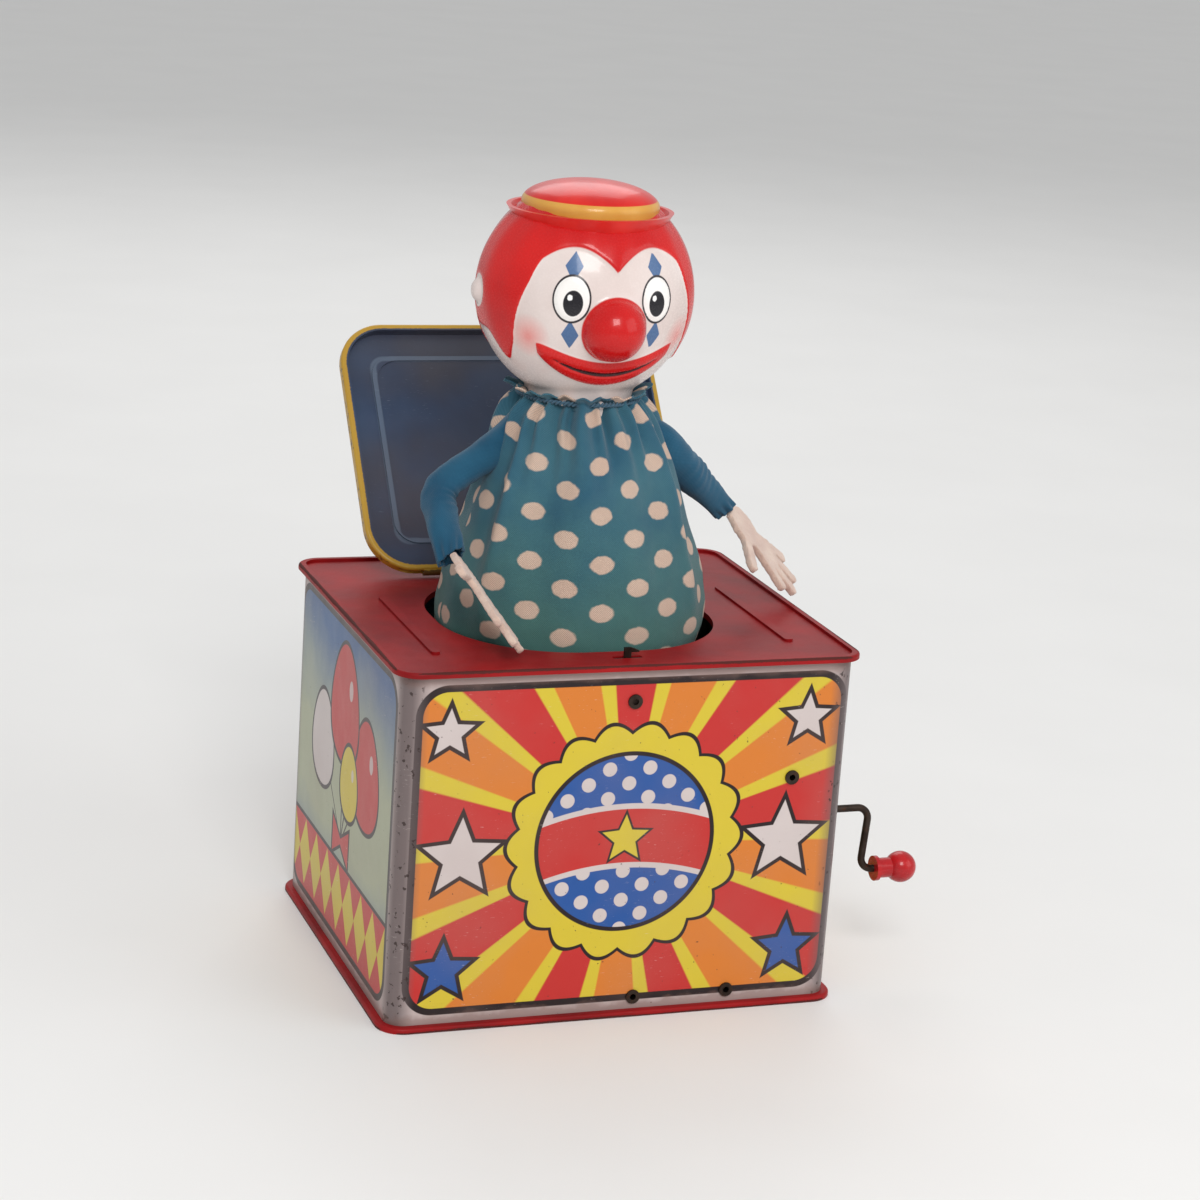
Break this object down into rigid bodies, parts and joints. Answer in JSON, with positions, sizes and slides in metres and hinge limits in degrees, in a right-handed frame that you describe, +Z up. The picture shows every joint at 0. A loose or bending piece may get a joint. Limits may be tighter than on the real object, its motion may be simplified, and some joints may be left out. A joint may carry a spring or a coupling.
{
  "type": "jack in the box",
  "caption": "Tin toy box with a hinged lid, side crank with music drum and trip latch, and a spring-mounted clown puppet in a dotted cloth dress.",
  "frame": {"origin": "middle of the base underside, which rests on the floor", "axes": "+Z up, printed front wall towards -Y, crank towards +X"},
  "size_m": [0.1862, 0.1666, 0.255],
  "materials": {
    "red_tin": "gloss lacquer, worn at the edges",
    "printed_tin": "printed and varnished",
    "lid_tin": "lacquered, yellow rolled rim",
    "steel": "plain",
    "dark_steel": "browned",
    "red_plastic": "gloss",
    "brass": "plain",
    "white_plastic": "plain",
    "board": "fibre board",
    "head_plastic": "gloss, painted",
    "hat_plastic": "gloss",
    "dress_cloth": "printed cotton",
    "cord": "thread",
    "sleeve_cloth": "plain cotton",
    "felt": "felt"
  },
  "bodies": {
    "box": {"base_plate": "red_tin", "box_wrap": "printed_tin", "top_plate": "red_tin", "hinge_pin": "steel", "hinge_bracket_left": "red_tin", "hinge_bracket_right": "red_tin", "latch_post": "steel", "latch_spring": "steel", "music_frame": "steel", "frame_rivets": "dark_steel", "crank_bushing": "dark_steel", "drum_axle": "steel", "music_comb": "steel", "comb_bridge": "steel", "comb_screws": "steel", "spring_base": "board", "spring_clips": "steel", "puppet_spring": "steel", "dress": "dress_cloth"},
    "lid": {"lid": "lid_tin", "lid_catch": "steel"},
    "latch": {"latch_lever": "steel"},
    "crank": {"crank": "dark_steel", "drive_pinion": "brass", "shaft_clips": "steel"},
    "knob": {"crank_knob": "red_plastic"},
    "drum": {"drum_gear": "white_plastic", "music_drum": "brass", "trip_cam": "white_plastic"},
    "puppet": {"neck_plug": "board", "neck_tie": "cord", "sleeve_left": "sleeve_cloth", "sleeve_right": "sleeve_cloth", "hand_left": "felt", "hand_right": "felt"},
    "head": {"clown_head": "head_plastic", "clown_hat": "hat_plastic"}
  },
  "joints": [
    {"name": "puppet_slide", "type": "slide", "parent": "box", "child": "puppet", "axis": [0, 0, 1], "range_m": [-0.17, 0], "stiffness_N_per_m": 30, "springref_m": 0.06, "deforming": ["puppet_spring", "dress", "neck_tie", "sleeve_left", "sleeve_right", "hand_left", "hand_right"]},
    {"name": "head_sway", "type": "hinge", "parent": "puppet", "child": "head", "pos_m": [-0.005, -0.007, 0.188], "axis": [0, 1, 0], "range_deg": [-6, 6], "stiffness_Nm_per_rad": 0.4, "deforming": ["dress"]},
    {"name": "lid_hinge", "type": "hinge", "parent": "box", "child": "lid", "pos_m": [0, 0.041, 0.1174], "axis": [1, 0, 0], "range_deg": [0, 129.7]},
    {"name": "latch_rock", "type": "hinge", "parent": "box", "child": "latch", "pos_m": [0, -0.0535, 0.1037], "axis": [0, -1, 0], "range_deg": [0, 12], "stiffness_Nm_per_rad": 0.02, "springref_deg": -11.46, "deforming": ["latch_spring"]},
    {"name": "crank_turn", "type": "hinge", "parent": "box", "child": "crank", "pos_m": [0, -0.044, 0.0575], "axis": [1, 0, 0], "continuous": true},
    {"name": "drum_turn", "type": "hinge", "parent": "box", "child": "drum", "pos_m": [0, -0.04, 0.08116], "axis": [1, 0, 0], "continuous": true},
    {"name": "knob_spin", "type": "hinge", "parent": "crank", "child": "knob", "pos_m": [0.1, -0.044, 0.036], "axis": [1, 0, 0], "continuous": true}
  ],
  "couplings": [
    {"joint": "lid_hinge", "follows": "puppet_slide", "rad_per_m": -13.315},
    {"joint": "drum_turn", "follows": "crank_turn", "ratio": -0.33333}
  ]
}
